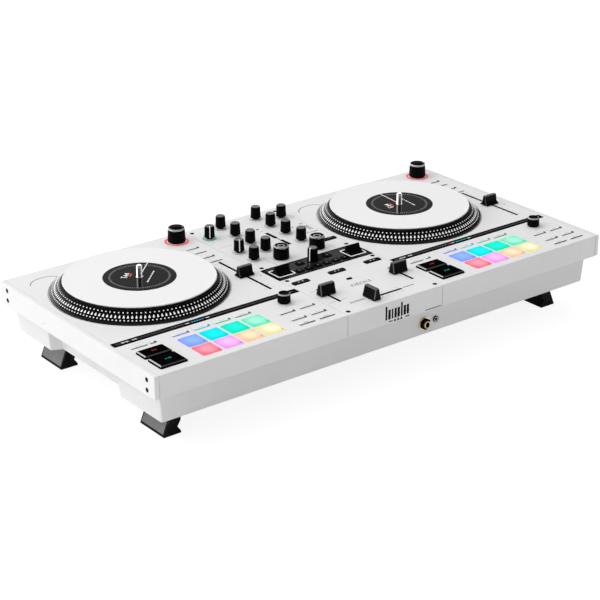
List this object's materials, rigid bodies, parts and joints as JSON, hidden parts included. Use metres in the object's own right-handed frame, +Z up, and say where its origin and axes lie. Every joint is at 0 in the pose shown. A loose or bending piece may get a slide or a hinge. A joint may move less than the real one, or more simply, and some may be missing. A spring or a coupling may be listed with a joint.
{
  "type": "dj controller",
  "caption": "Two-deck motorised DJ controller: white casing on black rubber feet, spinning platters with discs, a centre mixer with knobs, faders and paddles, and lit pads.",
  "frame": {"origin": "centre of the footprint, on the plane of the rubber feet", "axes": "+X to the performer's right, +Y to the rear, +Z up"},
  "size_m": [0.6754, 0.3374, 0.131],
  "materials": {
    "casing_white": "satin moulded white plastic",
    "key_white": "white translucent key caps, satin",
    "foot_rubber": "soft black rubber",
    "strip_gloss": "glossy black touch surface",
    "button_gloss": "glossy black caps with lit symbols",
    "bezel_grey": "dark grey satin",
    "platter_metal": "black anodised cone with light strobe dots",
    "slipmat_cloth": "thin black felt",
    "disc_white": "white disc, fine grooves, black label",
    "knob_black": "soft-touch black, fluted",
    "fader_black": "satin black caps",
    "pad_silicone": "translucent silicone lit from below",
    "board_green": "circuit board",
    "motor_metal": "cast motor housing",
    "socket_metal": "gold-plated ring, black core",
    "connector_black": "black plate with sockets"
  },
  "bodies": {
    "casing": {"bottom_case": "casing_white", "left_deck_panel": "casing_white", "left_end_cap": "casing_white", "mixer_panel": "casing_white", "right_deck_panel": "casing_white", "right_end_cap": "casing_white", "fx_bezel": "bezel_grey", "main_board": "board_green", "headphone_socket": "socket_metal", "headset_socket": "socket_metal", "rear_connector_plate": "connector_black", "left_motor": "motor_metal", "right_motor": "motor_metal", "left_touch_strip": "strip_gloss", "right_touch_strip": "strip_gloss", "front_left_foot": "foot_rubber", "front_right_foot": "foot_rubber", "rear_left_foot": "foot_rubber", "rear_right_foot": "foot_rubber"},
    "left_platter": {"left_platter": "platter_metal", "left_slipmat": "slipmat_cloth"},
    "right_platter": {"right_platter": "platter_metal", "right_slipmat": "slipmat_cloth"},
    "left_disc": {"left_disc": "disc_white"},
    "right_disc": {"right_disc": "disc_white"},
    "crossfader": {"crossfader": "fader_black"},
    "ch1_line_fader": {"ch1_line_fader": "fader_black"},
    "ch2_line_fader": {"ch2_line_fader": "fader_black"},
    "left_pitch_fader": {"left_pitch_fader": "fader_black"},
    "right_pitch_fader": {"right_pitch_fader": "fader_black"},
    "left_fx_paddle": {"left_fx_paddle": "fader_black"},
    "right_fx_paddle": {"right_fx_paddle": "fader_black"},
    "left_play_button": {"left_play_button": "button_gloss"},
    "left_cue_button": {"left_cue_button": "button_gloss"},
    "right_play_button": {"right_play_button": "button_gloss"},
    "right_cue_button": {"right_cue_button": "button_gloss"},
    "left_performance_pads": {"left_performance_pads": "pad_silicone"},
    "right_performance_pads": {"right_performance_pads": "pad_silicone"},
    "left_deck_keys": {"left_deck_keys": "key_white"},
    "right_deck_keys": {"right_deck_keys": "key_white"},
    "mixer_keys": {"mixer_keys": "button_gloss"},
    "left_browse_encoder": {"left_browse_encoder": "knob_black"},
    "right_browse_encoder": {"right_browse_encoder": "knob_black"},
    "left_push_encoder": {"left_push_encoder": "knob_black"},
    "right_push_encoder": {"right_push_encoder": "knob_black"},
    "ch1_filter_knob": {"ch1_filter_knob": "knob_black"},
    "ch2_filter_knob": {"ch2_filter_knob": "knob_black"},
    "booth_knob": {"booth_knob": "knob_black"},
    "fx_level_knob": {"fx_level_knob": "knob_black"},
    "headphone_mix_knob": {"headphone_mix_knob": "knob_black"},
    "headphone_level_knob": {"headphone_level_knob": "knob_black"},
    "master_knob": {"master_knob": "knob_black"},
    "ch1_gain_knob": {"ch1_gain_knob": "knob_black"},
    "ch1_high_knob": {"ch1_high_knob": "knob_black"},
    "ch1_mid_knob": {"ch1_mid_knob": "knob_black"},
    "ch1_low_knob": {"ch1_low_knob": "knob_black"},
    "ch2_gain_knob": {"ch2_gain_knob": "knob_black"},
    "ch2_high_knob": {"ch2_high_knob": "knob_black"},
    "ch2_mid_knob": {"ch2_mid_knob": "knob_black"},
    "ch2_low_knob": {"ch2_low_knob": "knob_black"}
  },
  "joints": [
    {"name": "left_platter_spin", "type": "hinge", "parent": "casing", "child": "left_platter", "pos_m": [-0.218, 0.0448, 0.1], "axis": [0, 0, 1], "continuous": true},
    {"name": "right_platter_spin", "type": "hinge", "parent": "casing", "child": "right_platter", "pos_m": [0.1853, 0.0448, 0.1], "axis": [0, 0, 1], "continuous": true},
    {"name": "left_disc_slip", "type": "hinge", "parent": "left_platter", "child": "left_disc", "pos_m": [-0.218, 0.0448, 0.115], "axis": [0, 0, 1], "continuous": true},
    {"name": "right_disc_slip", "type": "hinge", "parent": "right_platter", "child": "right_disc", "pos_m": [0.1853, 0.0448, 0.115], "axis": [0, 0, 1], "continuous": true},
    {"name": "crossfader_slide", "type": "slide", "parent": "casing", "child": "crossfader", "axis": [1, 0, 0], "range_m": [-0.0015, 0.0425]},
    {"name": "ch1_line_fader_slide", "type": "slide", "parent": "casing", "child": "ch1_line_fader", "axis": [0, 1, 0], "range_m": [-0.024, 0.015]},
    {"name": "ch2_line_fader_slide", "type": "slide", "parent": "casing", "child": "ch2_line_fader", "axis": [0, 1, 0], "range_m": [-0.024, 0.015]},
    {"name": "left_pitch_fader_slide", "type": "slide", "parent": "casing", "child": "left_pitch_fader", "axis": [0, 1, 0], "range_m": [-0.05, 0.05]},
    {"name": "right_pitch_fader_slide", "type": "slide", "parent": "casing", "child": "right_pitch_fader", "axis": [0, 1, 0], "range_m": [-0.05, 0.05]},
    {"name": "left_fx_paddle_tilt", "type": "hinge", "parent": "casing", "child": "left_fx_paddle", "pos_m": [-0.0569, -0.0205, 0.095], "axis": [1, 0, 0], "range_deg": [-18, 18]},
    {"name": "right_fx_paddle_tilt", "type": "hinge", "parent": "casing", "child": "right_fx_paddle", "pos_m": [0.0539, -0.0205, 0.095], "axis": [1, 0, 0], "range_deg": [-18, 18]},
    {"name": "left_play_press", "type": "slide", "parent": "casing", "child": "left_play_button", "axis": [0, 0, 1], "range_m": [-0.001, 0], "stiffness_N_per_m": 600},
    {"name": "left_cue_press", "type": "slide", "parent": "casing", "child": "left_cue_button", "axis": [0, 0, 1], "range_m": [-0.001, 0], "stiffness_N_per_m": 600},
    {"name": "right_play_press", "type": "slide", "parent": "casing", "child": "right_play_button", "axis": [0, 0, 1], "range_m": [-0.001, 0], "stiffness_N_per_m": 600},
    {"name": "right_cue_press", "type": "slide", "parent": "casing", "child": "right_cue_button", "axis": [0, 0, 1], "range_m": [-0.001, 0], "stiffness_N_per_m": 600},
    {"name": "left_pads_press", "type": "slide", "parent": "casing", "child": "left_performance_pads", "axis": [0, 0, 1], "range_m": [-0.0012, 0], "stiffness_N_per_m": 1500},
    {"name": "right_pads_press", "type": "slide", "parent": "casing", "child": "right_performance_pads", "axis": [0, 0, 1], "range_m": [-0.0012, 0], "stiffness_N_per_m": 1500},
    {"name": "left_deck_keys_press", "type": "slide", "parent": "casing", "child": "left_deck_keys", "axis": [0, 0, 1], "range_m": [-0.0006, 0], "stiffness_N_per_m": 1500},
    {"name": "right_deck_keys_press", "type": "slide", "parent": "casing", "child": "right_deck_keys", "axis": [0, 0, 1], "range_m": [-0.0006, 0], "stiffness_N_per_m": 1500},
    {"name": "mixer_keys_press", "type": "slide", "parent": "casing", "child": "mixer_keys", "axis": [0, 0, 1], "range_m": [-0.0006, 0], "stiffness_N_per_m": 1500},
    {"name": "left_browse_encoder_turn", "type": "hinge", "parent": "casing", "child": "left_browse_encoder", "pos_m": [-0.0982, 0.1458, 0.1], "axis": [0, 0, 1], "continuous": true},
    {"name": "right_browse_encoder_turn", "type": "hinge", "parent": "casing", "child": "right_browse_encoder", "pos_m": [0.3051, 0.1458, 0.1], "axis": [0, 0, 1], "continuous": true},
    {"name": "left_push_encoder_turn", "type": "hinge", "parent": "casing", "child": "left_push_encoder", "pos_m": [-0.1089, -0.0935, 0.1], "axis": [0, 0, 1], "continuous": true},
    {"name": "right_push_encoder_turn", "type": "hinge", "parent": "casing", "child": "right_push_encoder", "pos_m": [0.2944, -0.0935, 0.1], "axis": [0, 0, 1], "continuous": true},
    {"name": "ch1_filter_knob_turn", "type": "hinge", "parent": "casing", "child": "ch1_filter_knob", "pos_m": [-0.028, 0.019, 0.1], "axis": [0, 0, 1], "range_deg": [-150, 150]},
    {"name": "ch2_filter_knob_turn", "type": "hinge", "parent": "casing", "child": "ch2_filter_knob", "pos_m": [0.028, 0.019, 0.1], "axis": [0, 0, 1], "range_deg": [-150, 150]},
    {"name": "booth_knob_turn", "type": "hinge", "parent": "casing", "child": "booth_knob", "pos_m": [-0.0598, 0.128, 0.1], "axis": [0, 0, 1], "range_deg": [-150, 150]},
    {"name": "fx_level_knob_turn", "type": "hinge", "parent": "casing", "child": "fx_level_knob", "pos_m": [-0.0032, -0.012, 0.1], "axis": [0, 0, 1], "range_deg": [-150, 150]},
    {"name": "headphone_mix_knob_turn", "type": "hinge", "parent": "casing", "child": "headphone_mix_knob", "pos_m": [-0.0576, 0.067, 0.1], "axis": [0, 0, 1], "range_deg": [-150, 150]},
    {"name": "headphone_level_knob_turn", "type": "hinge", "parent": "casing", "child": "headphone_level_knob", "pos_m": [-0.0576, 0.0355, 0.1], "axis": [0, 0, 1], "range_deg": [-150, 150]},
    {"name": "master_knob_turn", "type": "hinge", "parent": "casing", "child": "master_knob", "pos_m": [0.0576, 0.133, 0.1], "axis": [0, 0, 1], "range_deg": [-150, 150]},
    {"name": "ch1_gain_knob_turn", "type": "hinge", "parent": "casing", "child": "ch1_gain_knob", "pos_m": [-0.028, 0.149, 0.1], "axis": [0, 0, 1], "range_deg": [-150, 150]},
    {"name": "ch1_high_knob_turn", "type": "hinge", "parent": "casing", "child": "ch1_high_knob", "pos_m": [-0.028, 0.1165, 0.1], "axis": [0, 0, 1], "range_deg": [-150, 150]},
    {"name": "ch1_mid_knob_turn", "type": "hinge", "parent": "casing", "child": "ch1_mid_knob", "pos_m": [-0.028, 0.084, 0.1], "axis": [0, 0, 1], "range_deg": [-150, 150]},
    {"name": "ch1_low_knob_turn", "type": "hinge", "parent": "casing", "child": "ch1_low_knob", "pos_m": [-0.028, 0.0515, 0.1], "axis": [0, 0, 1], "range_deg": [-150, 150]},
    {"name": "ch2_gain_knob_turn", "type": "hinge", "parent": "casing", "child": "ch2_gain_knob", "pos_m": [0.028, 0.149, 0.1], "axis": [0, 0, 1], "range_deg": [-150, 150]},
    {"name": "ch2_high_knob_turn", "type": "hinge", "parent": "casing", "child": "ch2_high_knob", "pos_m": [0.028, 0.1165, 0.1], "axis": [0, 0, 1], "range_deg": [-150, 150]},
    {"name": "ch2_mid_knob_turn", "type": "hinge", "parent": "casing", "child": "ch2_mid_knob", "pos_m": [0.028, 0.084, 0.1], "axis": [0, 0, 1], "range_deg": [-150, 150]},
    {"name": "ch2_low_knob_turn", "type": "hinge", "parent": "casing", "child": "ch2_low_knob", "pos_m": [0.028, 0.0515, 0.1], "axis": [0, 0, 1], "range_deg": [-150, 150]}
  ]
}
